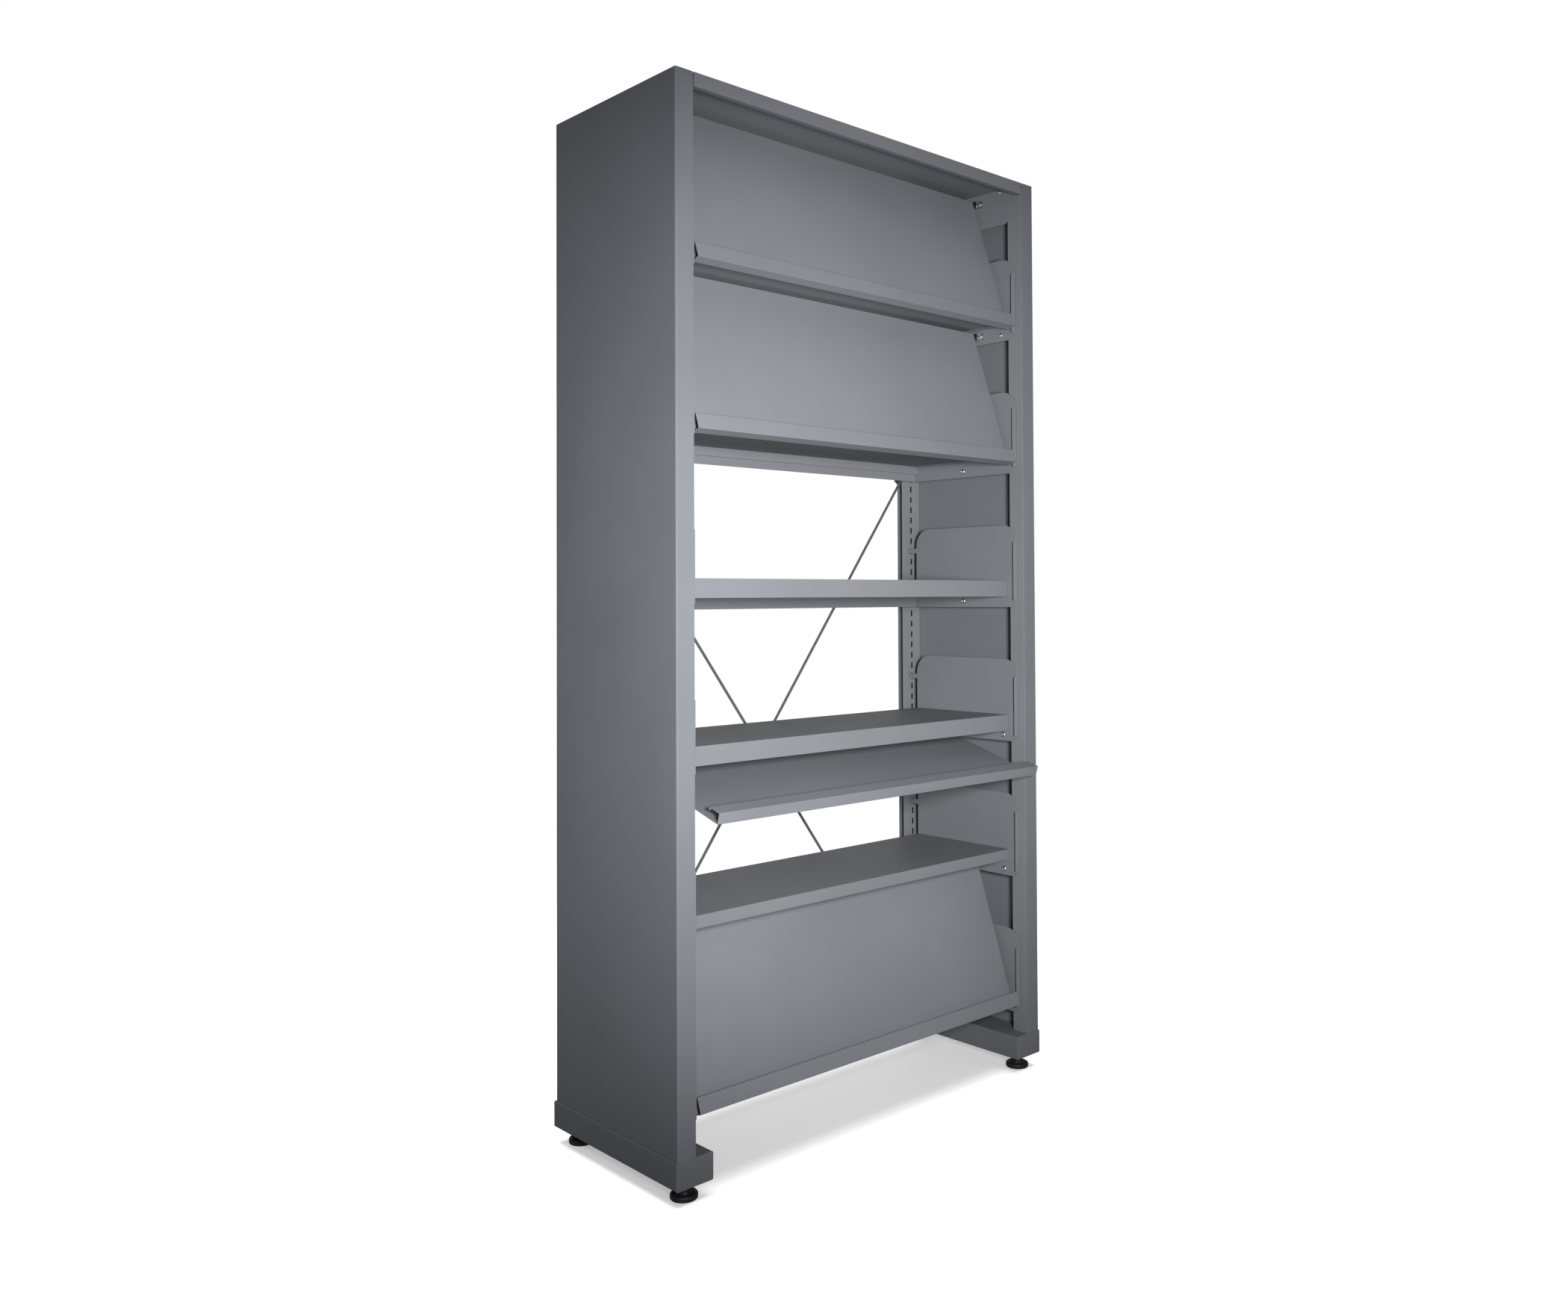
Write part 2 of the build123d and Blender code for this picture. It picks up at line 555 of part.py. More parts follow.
def brace_lug(rising, end):
    """A foot fixed to the rear post and a tab across the rod, with a clearance hole."""
    side, z = brace_ends(rising)[end]
    depth = BRACE_D[0 if rising else 1]
    foot = side_block(side, (POST_INNER, POST_INNER + 3), (depth - 10, depth + 10), (z - 30, z + 30))
    arm = side_block(side, (POST_INNER, BRACE_A + 4), (depth - 10, depth - 7), (z - 14, z + 14))
    tab_plane = Plane(origin=brace_point(rising, end, 1.5), z_dir=brace_direction(rising))
    tab = extrude(tab_plane * Rectangle(20, 20), 1.5, both=True)
    hole = extrude(tab_plane * Circle(ROD_R + GAP), 6, both=True)
    return foot + arm + tab - hole


def brace_nut(rising, end):
    """A nut on the rod, against the outside of its lug's tab."""
    outwards = brace_direction(rising) * (-1 if end == 0 else 1)
    plane = Plane(origin=brace_point(rising, end, -0.2), z_dir=outwards)
    nut = extrude(plane * RegularPolygon(5.8, 6), 5)
    return nut - extrude(plane * Circle(ROD_R + 0.05), 6)


def brace_sets(make):
    return [make(rising, end) for rising in (True, False) for end in (0, 1)]


# ---- writing ------------------------------------------------------------------------------------
def build_nodes():
    """Every node by name: a solid, or a list of separate solids."""
    nodes = {"top_cover": top_cover(), "foot_nuts": foot_nuts()}
    for name, side in SIDES.items():
        nodes["side_skin_" + name] = side_skin(side)
        nodes["post_front_" + name] = post(side, True)
        nodes["post_rear_" + name] = post(side, False)
        nodes["base_beam_" + name] = base_beam(side)
        nodes["top_bracket_" + name] = top_bracket(side, pin_z("flap_1"))
        for place, d in zip(("front", "rear"), FOOT_D):
            nodes["foot_pad_" + place + "_" + name] = foot_pad(side, d)
            nodes["foot_stud_" + place + "_" + name] = foot_stud(side, d)
    for index, shelf_z in enumerate(SHELF_TOPS):
        number = str(SHELF_COUNT - index)
        has_flap = index in [place[0] for place in FLAPS.values()]
        nodes["shelf_" + number] = shelf(shelf_z, FLAP_SHELF_LIP if has_flap else LIP_HEIGHT)
        track_z = pin_z(flap_under(index)) if flap_under(index) else None
        for name, side in SIDES.items():
            nodes["bracket_" + number + "_" + name] = shelf_bracket(side, shelf_z, track_z)
    for flap in FLAPS:
        nodes[flap] = place_flap(flap_plate(), flap)
        nodes[flap + "_pins"] = [place_flap(pin, flap) for pin in flap_pins()]
        nodes[flap + "_shoes"] = [guide_shoe(side, pin_d(flap), pin_z(flap)) for side in SIDES.values()]
        nodes[flap + "_tracks"] = [guide_track(side, pin_z(flap)) for side in SIDES.values()]
    nodes["beam_caps"] = [beam_cap(side, front) for side in SIDES.values() for front in (True, False)]
    nodes["brace_rods"] = [brace_rod(True), brace_rod(False)]
    nodes["brace_lugs"] = brace_sets(brace_lug)
    nodes["brace_nuts"] = brace_sets(brace_nut)
    nodes["track_rivets"] = track_rivets()
    nodes["frame_screws"] = bracket_screws() + cover_screws()
    return nodes


def write_nodes():
    os.makedirs("parts", exist_ok=True)
    nodes = build_nodes()
    for name, shape in nodes.items():
        solids = shape if isinstance(shape, list) else [shape]
        children = [solid for item in solids for solid in item.solids()]
        export_step(children[0] if len(children) == 1 else Compound(children), "parts/" + name + ".step")
    print(len(nodes), "nodes; middle depth", round(MIDDLE_D, 3), "pin closed", round(PIN_CLOSED_D, 3))
    print("swing", round(SWING_DEGREES, 3), "slide", round(SLIDE_TRAVEL, 3), "length", round(FLAP_LENGTH, 3))


write_nodes()
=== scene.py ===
"""Looks of the library newspaper rack: painted steel, bright fasteners, black feet, in a pale studio.

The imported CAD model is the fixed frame. Its sheet-metal nodes keep their shapes and get powder-coat
materials. Fasteners and feet, which CAD draws plainly, are replaced by detailed pieces here.
All lengths are in metres.
"""

import json
import math

import bmesh
import bpy
from mathutils import Matrix, Vector

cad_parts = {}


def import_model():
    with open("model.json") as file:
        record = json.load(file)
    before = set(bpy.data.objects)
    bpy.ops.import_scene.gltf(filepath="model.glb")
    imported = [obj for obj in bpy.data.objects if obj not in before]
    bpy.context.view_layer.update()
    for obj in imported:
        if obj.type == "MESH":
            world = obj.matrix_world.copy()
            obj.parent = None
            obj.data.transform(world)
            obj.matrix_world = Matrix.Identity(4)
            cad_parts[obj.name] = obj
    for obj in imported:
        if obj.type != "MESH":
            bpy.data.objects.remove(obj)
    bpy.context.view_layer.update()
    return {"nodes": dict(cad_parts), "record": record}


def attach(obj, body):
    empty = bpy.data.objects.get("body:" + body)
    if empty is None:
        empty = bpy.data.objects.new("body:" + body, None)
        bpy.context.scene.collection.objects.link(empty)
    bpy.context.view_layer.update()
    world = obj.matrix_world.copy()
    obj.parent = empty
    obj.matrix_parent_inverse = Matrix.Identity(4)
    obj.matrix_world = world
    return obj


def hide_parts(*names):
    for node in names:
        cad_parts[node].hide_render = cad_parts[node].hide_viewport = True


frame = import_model()
NODES = frame["nodes"]

# ---- measures shared with the CAD model ----------------------------------------------------------
MM = 0.001
STUD_R = 6.0 * MM
STUD_ROOT_R = 5.15 * MM
STUD_PITCH = 1.5 * MM
STUD_HOLE_R = 6.05 * MM
BRACE_HOLE_R = 3.05 * MM
BRACE_NUT_CORNER_R = 5.8 * MM
BRACE_NUT_HEIGHT = 5.0 * MM
SHANK_R = 1.95 * MM
FEET = [place + "_" + side for place in ("front", "rear") for side in ("left", "right")]

# ---- detail that only the scene has --------------------------------------------------------------
PAINT_BEVEL_R = 1.2 * MM
PAINT_SPECULAR = 0.12
PEEL_DEPTH = 0.06 * MM
RIB_COUNT = 8
RIB_HALF_WIDTH = 0.9
NUT_CHAMFER = math.radians(28)
SCREW_HEAD_HEIGHT = 3.4 * MM
RIVET_HEAD_HEIGHT = 1.8 * MM

# ---- the photographer's camera -------------------------------------------------------------------
CAMERA_PLACE = (-1.8533, -2.0447, 1.0604)
CAMERA_YAW = 0.7659
CAMERA_PITCH = 0.0194
CAMERA_ROLL = -0.0052
CAMERA_LENS = 29.99
CAMERA_SHIFT = (-0.0477, -0.0541)

# ---- floor ---------------------------------------------------------------------------------------
FLOOR_R = 3.0
FLOOR_DROP = 0.2 * MM
FLOOR_FADE = (0.5, 2.6)


# ---- material helpers ----------------------------------------------------------------------------
def new_material(name):
    """A node material with only its output and a Principled shader."""
    material = bpy.data.materials.new(name)
    material.use_nodes = True
    return material, material.node_tree.nodes, material.node_tree.links


def principled(nodes):
    """The Principled shader that a new material starts with."""
    return next(node for node in nodes if node.type == "BSDF_PRINCIPLED")


def noise(nodes, links, coords, scale, detail=2.0, stretch=(1, 1, 1)):
    """A noise texture over the object's own coordinates, which are the rack's in metres."""
    mapping = nodes.new("ShaderNodeMapping")
    mapping.inputs["Scale"].default_value = stretch
    links.new(coords.outputs["Object"], mapping.inputs["Vector"])
    texture = nodes.new("ShaderNodeTexNoise")
    texture.inputs["Scale"].default_value = scale
    texture.inputs["Detail"].default_value = detail
    links.new(mapping.outputs["Vector"], texture.inputs["Vector"])
    return texture.outputs["Fac"]


def remap(nodes, links, value, low, high):
    """Spreads a 0.3 to 0.7 noise value over low to high."""
    spread = nodes.new("ShaderNodeMapRange")
    spread.inputs["From Min"].default_value = 0.3
    spread.inputs["From Max"].default_value = 0.7
    spread.inputs["To Min"].default_value = low
    spread.inputs["To Max"].default_value = high
    links.new(value, spread.inputs["Value"])
    return spread.outputs["Result"]


def blend_colours(nodes, links, factor, first, second):
    """Mixes two colours by a factor. Each one is either three numbers or another node's output."""
    mix = nodes.new("ShaderNodeMix")
    mix.data_type = "RGBA"
    links.new(factor, mix.inputs["Factor"])
    for socket, colour in (("A", first), ("B", second)):
        target = [item for item in mix.inputs if item.name == socket and item.type == "RGBA"][0]
        if isinstance(colour, bpy.types.NodeSocket):
            links.new(colour, target)
        else:
            target.default_value = (*colour, 1)
    return [item for item in mix.outputs if item.type == "RGBA"][0]


def rounded_normal(nodes, radius):
    """The surface normal with its sharp edges rounded off."""
    bevel = nodes.new("ShaderNodeBevel")
    bevel.samples = 4
    bevel.inputs["Radius"].default_value = radius
    return bevel.outputs["Normal"]


def edge_mask(nodes, links, rounded):
    """0 on a flat, rising towards 1 at an edge, from how far the rounded normal leaves the true one."""
    geometry = nodes.new("ShaderNodeNewGeometry")
    dot = nodes.new("ShaderNodeVectorMath")
    dot.operation = "DOT_PRODUCT"
    links.new(rounded, dot.inputs[0])
    links.new(geometry.outputs["Normal"], dot.inputs[1])
    spread = nodes.new("ShaderNodeMapRange")
    spread.inputs["From Min"].default_value = 0.995
    spread.inputs["From Max"].default_value = 0.85
    links.new(dot.outputs["Value"], spread.inputs["Value"])
    return spread.outputs["Result"]


def bump(nodes, links, height, depth, normal=None, strength=1.0):
    """A bump of a height texture whose full swing is depth."""
    node = nodes.new("ShaderNodeBump")
    node.inputs["Strength"].default_value = strength
    node.inputs["Distance"].default_value = depth
    links.new(height, node.inputs["Height"])
    if normal is not None:
        links.new(normal, node.inputs["Normal"])
    return node.outputs["Normal"]


# ---- materials -----------------------------------------------------------------------------------
def powder_coat(name, colour, roughness=0.52, grain=0.06):
    """Baked powder paint on sheet steel: orange-peel skin, slow tone drift, painted highlight and thin
    paint on edges.
    """
    material, nodes, links = new_material(name)
    shader = principled(nodes)
    coords = nodes.new("ShaderNodeTexCoord")
    darker = [channel * (1 - grain) for channel in colour]
    lighter = [channel * (1 + grain) for channel in colour]
    drift = remap(nodes, links, noise(nodes, links, coords, 3.2, 3.0), 0, 1)
    toned = blend_colours(nodes, links, drift, darker, lighter)
    speck = remap(nodes, links, noise(nodes, links, coords, 900, 1.0), 0.0, 0.22)
    specked = blend_colours(nodes, links, speck, toned, [channel * 0.82 for channel in colour])
    rounded = rounded_normal(nodes, PAINT_BEVEL_R)
    edges = edge_mask(nodes, links, rounded)
    # Paler edges: partly thin, worn paint and partly a painted highlight, lightening the base colour along
    # every edge.
    edge_wear_and_highlight = nodes.new("ShaderNodeMath")
    edge_wear_and_highlight.operation = "MULTIPLY"
    links.new(edges, edge_wear_and_highlight.inputs[0])
    links.new(remap(nodes, links, noise(nodes, links, coords, 55, 4.0), 0.1, 0.75), edge_wear_and_highlight.inputs[1])
    # The edge colour is partly worn paint and partly a painted highlight.
    pale_wear_and_highlight = [min(1.0, channel * 1.45 + 0.03) for channel in colour]
    painted = blend_colours(nodes, links, edge_wear_and_highlight.outputs["Value"], specked, pale_wear_and_highlight)
    links.new(painted, shader.inputs["Base Color"])
    gloss = remap(nodes, links, noise(nodes, links, coords, 14, 4.0), roughness - 0.01, roughness + 0.02)
    links.new(gloss, shader.inputs["Roughness"])
    peel = noise(nodes, links, coords, 420, 2.0)
    links.new(bump(nodes, links, peel, PEEL_DEPTH, rounded, 0.5), shader.inputs["Normal"])
    shader.inputs["Specular IOR Level"].default_value = PAINT_SPECULAR
    return material


def bright_zinc(name):
    """Zinc plate: slightly blue metal with soft patches of stronger and weaker shine."""
    material, nodes, links = new_material(name)
    shader = principled(nodes)
    coords = nodes.new("ShaderNodeTexCoord")
    patches = remap(nodes, links, noise(nodes, links, coords, 260, 3.0), 0, 1)
    plated = blend_colours(nodes, links, patches, (0.66, 0.68, 0.7), (0.86, 0.87, 0.88))
    links.new(plated, shader.inputs["Base Color"])
    shader.inputs["Metallic"].default_value = 1.0
    gloss = remap(nodes, links, noise(nodes, links, coords, 400, 2.0), 0.22, 0.4)
    links.new(gloss, shader.inputs["Roughness"])
    rounded = rounded_normal(nodes, 0.3 * MM)
    grains = noise(nodes, links, coords, 1500, 2.0)
    links.new(bump(nodes, links, grains, 0.02 * MM, rounded, 0.4), shader.inputs["Normal"])
    return material


def rolled_steel(name):
    """Bare track steel with fine draw lines along its length."""
    material, nodes, links = new_material(name)
    shader = principled(nodes)
    coords = nodes.new("ShaderNodeTexCoord")
    lines = noise(nodes, links, coords, 900, 2.0, (1, 0.02, 1))
    tone = remap(nodes, links, lines, 0, 1)
    rolled = blend_colours(nodes, links, tone, (0.33, 0.34, 0.35), (0.5, 0.5, 0.51))
    links.new(rolled, shader.inputs["Base Color"])
    shader.inputs["Metallic"].default_value = 1.0
    links.new(remap(nodes, links, lines, 0.32, 0.5), shader.inputs["Roughness"])
    rounded = rounded_normal(nodes, 0.4 * MM)
    links.new(bump(nodes, links, lines, 0.02 * MM, rounded, 0.5), shader.inputs["Normal"])
    return material


def moulded_plastic(name, colour, roughness):
    """Injection-moulded plastic with a fine spark-eroded grain and a little dust."""
    material, nodes, links = new_material(name)
    shader = principled(nodes)
    coords = nodes.new("ShaderNodeTexCoord")
    dust = remap(nodes, links, noise(nodes, links, coords, 35, 4.0), 0, 0.35)
    dusty = [channel + 0.05 for channel in colour]
    links.new(blend_colours(nodes, links, dust, colour, dusty), shader.inputs["Base Color"])
    gloss = remap(nodes, links, noise(nodes, links, coords, 60, 3.0), roughness - 0.06, roughness + 0.08)
    links.new(gloss, shader.inputs["Roughness"])
    grains = noise(nodes, links, coords, 1800, 1.0)
    rounded = rounded_normal(nodes, 0.5 * MM)
    links.new(bump(nodes, links, grains, 0.04 * MM, rounded, 0.5), shader.inputs["Normal"])
    return material


SIDE_GREY = (0.205, 0.218, 0.243)
BODY_GREY = (0.235, 0.246, 0.270)
MATERIALS = {
    "side_paint": powder_coat("side_paint", SIDE_GREY, 0.55),
    "cover_paint": powder_coat("cover_paint", BODY_GREY),
    "base_paint": powder_coat("base_paint", (0.2, 0.212, 0.235), 0.55),
    "post_paint": powder_coat("post_paint", (0.25, 0.258, 0.275), 0.5),
    "bracket_paint": powder_coat("bracket_paint", (0.235, 0.246, 0.27), 0.5),
    "shelf_paint": powder_coat("shelf_paint", BODY_GREY),
    "flap_paint": powder_coat("flap_paint", (0.24, 0.255, 0.282)),
    "brace_paint": powder_coat("brace_paint", (0.12, 0.125, 0.135), 0.45),
    "track_steel": rolled_steel("track_steel"),
    "zinc": bright_zinc("zinc"),
    "nylon": moulded_plastic("nylon", (0.02, 0.02, 0.022), 0.42),
    "foot_black": moulded_plastic("foot_black", (0.012, 0.012, 0.013), 0.5),
}


def paint_nodes():
    """Gives every CAD node the material of its slot in the record."""
    for entry in frame["record"]["subparts"]:
        mesh = NODES[entry["node"]].data
        mesh.materials.clear()
        mesh.materials.append(MATERIALS[entry["material_slot"]])


# ---- detailed fasteners and feet -----------------------------------------------------------------
def islands(node_name):
    """The low and high corners of each separate solid in a CAD node."""
    source = bmesh.new()
    source.from_mesh(NODES[node_name].data)
    bmesh.ops.transform(source, matrix=NODES[node_name].matrix_world, verts=source.verts)
    bmesh.ops.remove_doubles(source, verts=source.verts, dist=0.002 * MM)
    waiting = set(source.verts)
    found = []
    while waiting:
        start = waiting.pop()
        group, unvisited = [start], [start]
        while unvisited:
            vertex = unvisited.pop()
            for link in vertex.link_edges:
                other = link.other_vert(vertex)
                if other in waiting:
                    waiting.discard(other)
                    group.append(other)
                    unvisited.append(other)
        columns = list(zip(*(vertex.co for vertex in group)))
        low = Vector([min(column) for column in columns])
        high = Vector([max(column) for column in columns])
        found.append((low, high))
    source.free()
    return found


def spin(shape, profile, steps=48, close=False, radius_of=None):
    """Turns a profile of (radius, height) points about Z.

    radius_of(angle, index), if given, says the radius and height of each point instead.
    """
    rings = []
    for step in range(steps):
        angle = 2 * math.pi * step / steps
        ring = []
        for index, (radius, height) in enumerate(profile):
            if radius_of is not None:
                radius, height = radius_of(angle, index)
            ring.append(shape.verts.new((radius * math.cos(angle), radius * math.sin(angle), height)))
        rings.append(ring)
    last = len(profile) if close else len(profile) - 1
    for step in range(steps):
        here, there = rings[step], rings[(step + 1) % steps]
        for index in range(last):
            after = (index + 1) % len(profile)
            shape.faces.new((here[index], there[index], there[after], here[after]))


def tidy(shape):
    """Joins the vertices that meet on an axis and points every face outwards."""
    bmesh.ops.remove_doubles(shape, verts=shape.verts, dist=0.001 * MM)
    bmesh.ops.dissolve_degenerate(shape, edges=shape.edges, dist=0.0005 * MM)
    bmesh.ops.recalc_face_normals(shape, faces=shape.faces)


def placed(template, shape, matrix):
    """Copies a template into a shape at a place."""
    mesh = bpy.data.meshes.new("copy")
    template.to_mesh(mesh)
    mesh.transform(matrix)
    shape.from_mesh(mesh)
    bpy.data.meshes.remove(mesh)


def piece(name, shape, body, slot, replaced, smooth_degrees=35):
    """Makes an object of a shape, which rides a body in place of CAD nodes."""
    mesh = bpy.data.meshes.new(name)
    shape.to_mesh(mesh)
    shape.free()
    for polygon in mesh.polygons:
        polygon.use_smooth = True
    mesh.set_sharp_from_angle(angle=math.radians(smooth_degrees))
    made = bpy.data.objects.new(name, mesh)
    bpy.context.scene.collection.objects.link(made)
    mesh.materials.append(MATERIALS[slot])
    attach(made, body)
    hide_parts(replaced)
    return made


def thread(shape, low, high):
    """A helical thread between two heights, on a plain core."""
    steps = 32
    count = int((high - low) / STUD_PITCH * steps)
    roots, crests = [], []
    for step in range(count + 1):
        angle = 2 * math.pi * step / steps
        height = low + STUD_PITCH * step / steps
        across = (math.cos(angle), math.sin(angle))
        roots.append(shape.verts.new((STUD_ROOT_R * across[0], STUD_ROOT_R * across[1], height)))
        crests.append(shape.verts.new((STUD_R * across[0], STUD_R * across[1], height + STUD_PITCH / 2)))
    for step in range(count):
        shape.faces.new((roots[step], roots[step + 1], crests[step + 1], crests[step]))
        if step + 1 + steps <= count:
            shape.faces.new((crests[step], crests[step + 1], roots[step + 1 + steps], roots[step + steps]))


def foot_stud(foot):
    """The threaded stud with a chamfered foot and top."""
    low, high = islands("foot_stud_" + foot)[0]
    shape = bmesh.new()
    core = STUD_ROOT_R + 0.02 * MM
    profile = [(0, low.z), (core - 1 * MM, low.z), (core, low.z + 1 * MM), (core, high.z - 1 * MM),
               (core - 1 * MM, high.z), (0, high.z)]
    spin(shape, profile, 32)
    tidy(shape)
    thread(shape, low.z + 2 * MM, high.z - 2 * STUD_PITCH)
    middle = (low + high) / 2
    bmesh.ops.translate(shape, vec=(middle.x, middle.y, 0), verts=shape.verts)
    piece("threaded_stud_" + foot, shape, "foot_" + foot, "zinc", "foot_stud_" + foot)


def foot_pad(foot):
    """A moulded pad: rounded rim, waisted hub and radial ribs between them."""
    low, high = islands("foot_pad_" + foot)[0]
    shape = bmesh.new()
    # Millimetres: (radius, height) from the underside.
    rim = [(0, 0), (22.6, 0), (24.2, 0.5), (25, 1.8), (25, 7.2), (24.7, 8.4), (23.7, 9.6), (22.2, 10.3)]
    web = [(17, 9.2), (14.2, 9.6), (12.7, 11.2), (11.7, 14)]
    hub = [(11.5, 17), (11.4, 18.8), (10.7, 19.7), (9.7, 20)]
    bore = [(7.2, 20), (6.3, 19.4), (6.05, 18.6), (6.05, 5), (0, 5)]
    spin(shape, [(radius * MM, height * MM) for radius, height in rim + web + hub + bore], 72)
    tidy(shape)
    rib_corners = [(11.0, 8.5), (22.6, 8.5), (22.6, 10.2), (11.0, 15.4)]
    for rib in range(RIB_COUNT):
        turn = Matrix.Rotation(2 * math.pi / RIB_COUNT * rib, 4, "Z")
        sides = [[shape.verts.new(turn @ Vector((radius * MM, half * MM, height * MM)))
                  for radius, height in rib_corners]
                 for half in (-RIB_HALF_WIDTH, RIB_HALF_WIDTH)]
        shape.faces.new(sides[0])
        shape.faces.new(list(reversed(sides[1])))
        for index in range(4):
            after = (index + 1) % 4
            shape.faces.new((sides[0][after], sides[0][index], sides[1][index], sides[1][after]))
    bmesh.ops.recalc_face_normals(shape, faces=shape.faces)
    middle = (low + high) / 2
    bmesh.ops.translate(shape, vec=(middle.x, middle.y, 0), verts=shape.verts)
    piece("moulded_pad_" + foot, shape, "foot_" + foot, "foot_black", "foot_pad_" + foot)


def hex_nut(corner_r, hole_r, height):
    """A nut with chamfered corners and a countersunk hole, standing on Z = 0."""
    flat_r = corner_r * math.cos(math.pi / 6)
    rim_r = flat_r * 0.96
    sink = 0.06 * corner_r

    def outline(angle, index):
        across = flat_r / math.cos((angle % (math.pi / 3)) - math.pi / 6)
        drop = (across - rim_r) * math.tan(NUT_CHAMFER)
        rows = [(hole_r, sink), (hole_r + sink, 0), (rim_r, 0), (across, drop), (across, height - drop),
                (rim_r, height), (hole_r + sink, height), (hole_r, height - sink)]
        return rows[index]

    template = bmesh.new()
    spin(template, [(0, 0)] * 8, 72, close=True, radius_of=outline)
    tidy(template)
    return template


def foot_nuts():
    """Nuts in place of the plain ones on each foot's stud."""
    shape = bmesh.new()
    for low, high in islands("foot_nuts"):
        template = hex_nut((high.x - low.x) / 2, STUD_HOLE_R, high.z - low.z)
        middle = (low + high) / 2
        placed(template, shape, Matrix.Translation((middle.x, middle.y, low.z)))
        template.free()
    piece("chamfered_foot_nuts", shape, "rack", "zinc", "foot_nuts")


def brace_nuts():
    """Nuts on the brace rods' ends, in line with each rod."""
    shape = bmesh.new()
    rods = islands("brace_rods")
    span = rods[0][1] - rods[0][0]
    slope = Vector((span.x, 0, span.z)).normalized()
    middle_z = (rods[0][0].z + rods[0][1].z) / 2
    template = hex_nut(BRACE_NUT_CORNER_R, BRACE_HOLE_R, BRACE_NUT_HEIGHT)
    for low, high in islands("brace_nuts"):
        middle = (low + high) / 2
        across = 1 if middle.x > 0 else -1
        up = 1 if middle.z > middle_z else -1
        axis = Vector((across * slope.x, 0, up * slope.z))
        turn = axis.to_track_quat("Z", "Y").to_matrix().to_4x4()
        placed(template, shape, Matrix.Translation(middle - axis * BRACE_NUT_HEIGHT / 2) @ turn)
    template.free()
    piece("chamfered_brace_nuts", shape, "rack", "zinc", "brace_nuts")


def cross_recess(template, head_r, head_height):
    """The template's shape with a cross cut into the top of its head."""
    head = bpy.data.meshes.new("head")
    template.to_mesh(head)
    template.free()
    head_object = bpy.data.objects.new("head", head)
    cutters = []
    for size in ((1.15, 0.24), (0.24, 1.15)):
        cutter = bmesh.new()
        bmesh.ops.create_cube(cutter, size=1.0)
        scale = (size[0] * head_r, size[1] * head_r, 0.9 * head_height)
        bmesh.ops.scale(cutter, vec=scale, verts=cutter.verts)
        bmesh.ops.translate(cutter, vec=(0, 0, head_height), verts=cutter.verts)
        mesh = bpy.data.meshes.new("cutter")
        cutter.to_mesh(mesh)
        cutter.free()
        made = bpy.data.objects.new("cutter", mesh)
        bpy.context.scene.collection.objects.link(made)
        modifier = head_object.modifiers.new("recess", "BOOLEAN")
        modifier.operation = "DIFFERENCE"
        modifier.object = made
        cutters.append(made)
    bpy.context.scene.collection.objects.link(head_object)
    evaluated = head_object.evaluated_get(bpy.context.evaluated_depsgraph_get())
    result = bmesh.new()
    result.from_mesh(evaluated.to_mesh())
    evaluated.to_mesh_clear()
    for used in cutters + [head_object]:
        bpy.data.objects.remove(used)
    return result


def headed(head_r, head_height, shank, recess):
    """A domed head along +Z from 0, with a shank behind it and perhaps a cross recess."""
    template = bmesh.new()
    steps = 12
    dome = []
    for step in range(steps + 1):
        turn = math.pi / 2 * step / steps
        radius = head_r * math.cos(turn) ** 0.8 if step < steps else 0
        dome.append((radius, head_height * math.sin(turn)))
    if shank > 0:
        profile = dome[::-1] + [(head_r, 0), (SHANK_R, 0), (SHANK_R, -shank), (0, -shank)]
    else:
        profile = dome[::-1] + [(head_r, 0), (0, 0)]
    spin(template, profile, 40)
    tidy(template)
    return cross_recess(template, head_r, head_height) if recess else template


def headed_pieces(name, node, head_height, recess):
    """Domed heads facing the middle of the rack, in place of a node's plain ones."""
    shape = bmesh.new()
    for low, high in islands(node):
        middle = (low + high) / 2
        inwards = -1 if middle.x > 0 else 1
        length = high.x - low.x
        head_r = (high.y - low.y) / 2
        rise = min(head_height, length)
        template = headed(head_r, rise, length - rise, recess)
        inner = low.x if inwards < 0 else high.x
        turn = Matrix.Rotation(inwards * math.pi / 2, 4, "Y")
        base = Vector((inner - inwards * rise, middle.y, middle.z))
        placed(template, shape, Matrix.Translation(base) @ turn)
        template.free()
    piece(name, shape, "rack", "zinc", node)


def fasteners_and_feet():
    """Makes every detailed piece that stands in for plain CAD nodes."""
    for foot in FEET:
        foot_stud(foot)
        foot_pad(foot)
    foot_nuts()
    brace_nuts()
    headed_pieces("pan_head_screws", "frame_screws", SCREW_HEAD_HEIGHT, True)
    headed_pieces("domed_rivets", "track_rivets", RIVET_HEAD_HEIGHT, False)


# ---- studio --------------------------------------------------------------------------------------
def camera():
    """The photographer's place, a little over a metre high, off the rack's front left corner."""
    data = bpy.data.cameras.new("camera")
    data.sensor_fit = "HORIZONTAL"
    data.sensor_width = 36.0
    data.lens = CAMERA_LENS
    data.shift_x, data.shift_y = CAMERA_SHIFT
    data.clip_start = 0.05
    data.clip_end = 60.0
    made = bpy.data.objects.new("camera", data)
    heading = Matrix.Rotation(-CAMERA_YAW, 3, "Z")
    tilt = Matrix.Rotation(math.pi / 2 + CAMERA_PITCH, 3, "X")
    made.rotation_euler = (heading @ tilt @ Matrix.Rotation(CAMERA_ROLL, 3, "Z")).to_euler()
    made.location = CAMERA_PLACE
    bpy.context.scene.collection.objects.link(made)
    bpy.context.scene.camera = made


def light(name, kind, location, aim, power, **settings):
    """A lamp of a kind at a place, turned towards its aim."""
    data = bpy.data.lights.new(name, kind)
    data.energy = power
    for key, value in settings.items():
        setattr(data, key, value)
    made = bpy.data.objects.new(name, data)
    made.location = location
    made.rotation_euler = (Vector(aim) - Vector(location)).to_track_quat("-Z", "Y").to_euler()
    bpy.context.scene.collection.objects.link(made)
    return made


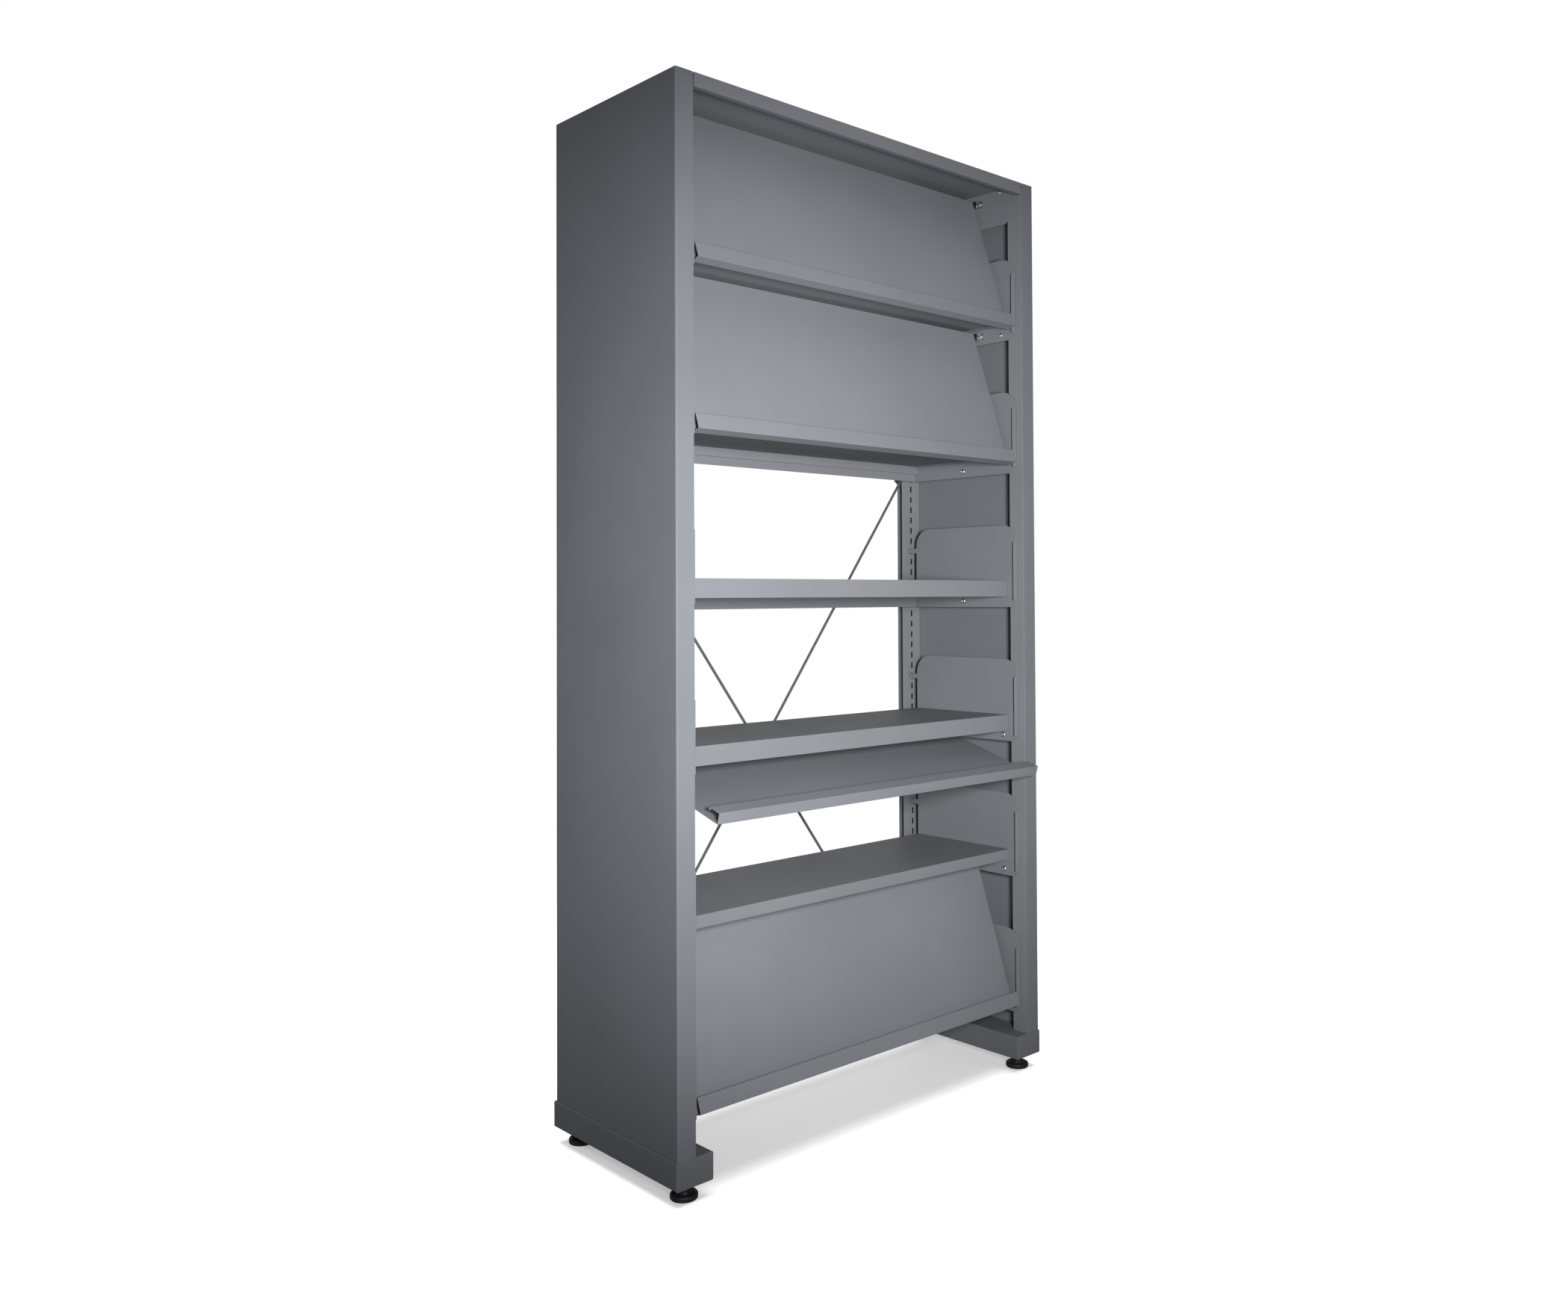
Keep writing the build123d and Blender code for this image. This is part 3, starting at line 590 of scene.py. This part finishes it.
def studio_lights():
    """One soft key near the camera, like its flash, with a weak fill from above and one from behind."""
    light("key", "SPOT", (-1.35, -2.1, 1.12), (-0.1, -0.1, 1.06), 345, spot_size=math.radians(63),
          spot_blend=1.0, shadow_soft_size=0.22, color=(1.0, 0.985, 0.97))
    light("fill", "AREA", (1.2, -2.6, 3.2), (0, 0, 1.0), 5, shape="DISK", size=2.5)
    light("rear_fill", "AREA", (2.3, 4.0, 1.6), (0, 0, 1.0), 28, shape="DISK", size=4.5)


def world():
    """White behind the rack, and a dim even glow from all round."""
    made = bpy.data.worlds.new("studio")
    made.use_nodes = True
    nodes, links = made.node_tree.nodes, made.node_tree.links
    nodes.clear()
    output = nodes.new("ShaderNodeOutputWorld")
    glow = nodes.new("ShaderNodeBackground")
    glow.inputs["Color"].default_value = (0.97, 0.985, 1.0, 1)
    glow.inputs["Strength"].default_value = 0.12
    backdrop = nodes.new("ShaderNodeBackground")
    backdrop.inputs["Strength"].default_value = 1.0
    backdrop.inputs["Color"].default_value = (1, 1, 1, 1)
    path = nodes.new("ShaderNodeLightPath")
    mix = nodes.new("ShaderNodeMixShader")
    links.new(path.outputs["Is Camera Ray"], mix.inputs["Fac"])
    links.new(glow.outputs["Background"], mix.inputs[1])
    links.new(backdrop.outputs["Background"], mix.inputs[2])
    links.new(mix.outputs["Shader"], output.inputs["Surface"])
    bpy.context.scene.world = made


def floor():
    """A pale round floor that fades into the white backdrop at its rim."""
    material, nodes, links = new_material("floor")
    shader = principled(nodes)
    shader.inputs["Base Color"].default_value = (0.86, 0.86, 0.86, 1)
    shader.inputs["Roughness"].default_value = 0.8
    shader.inputs["Emission Color"].default_value = (1, 1, 1, 1)
    shader.inputs["Emission Strength"].default_value = 0.4
    coords = nodes.new("ShaderNodeTexCoord")
    length = nodes.new("ShaderNodeVectorMath")
    length.operation = "LENGTH"
    links.new(coords.outputs["Object"], length.inputs[0])
    fade = nodes.new("ShaderNodeMapRange")
    fade.interpolation_type = "SMOOTHSTEP"
    fade.inputs["From Min"].default_value = FLOOR_FADE[0]
    fade.inputs["From Max"].default_value = FLOOR_FADE[1]
    links.new(length.outputs["Value"], fade.inputs["Value"])
    clear = nodes.new("ShaderNodeBsdfTransparent")
    mix = nodes.new("ShaderNodeMixShader")
    links.new(fade.outputs["Result"], mix.inputs["Fac"])
    links.new(shader.outputs["BSDF"], mix.inputs[1])
    links.new(clear.outputs["BSDF"], mix.inputs[2])
    output = next(node for node in nodes if node.type == "OUTPUT_MATERIAL")
    links.new(mix.outputs["Shader"], output.inputs["Surface"])
    bpy.ops.mesh.primitive_circle_add(vertices=96, radius=FLOOR_R, fill_type="NGON",
                                      location=(0, 0, -FLOOR_DROP))
    disc = bpy.context.object
    disc.name = "floor"
    disc.data.materials.append(material)
    disc.visible_diffuse = False
    disc.visible_glossy = False
    return disc


def floor_light(disc):
    """A soft light from straight above that reaches only the floor, so that it stays pale."""
    only_floor = bpy.data.collections.new("floor_only")
    only_floor.objects.link(disc)
    wash = light("floor_wash", "AREA", (0, 0, 6.0), (0, 0, 0), 620, shape="DISK", size=6.0)
    wash.light_linking.receiver_collection = only_floor


paint_nodes()
fasteners_and_feet()
camera()
world()
studio_lights()
floor_light(floor())
bpy.context.scene.view_settings.view_transform = "Standard"
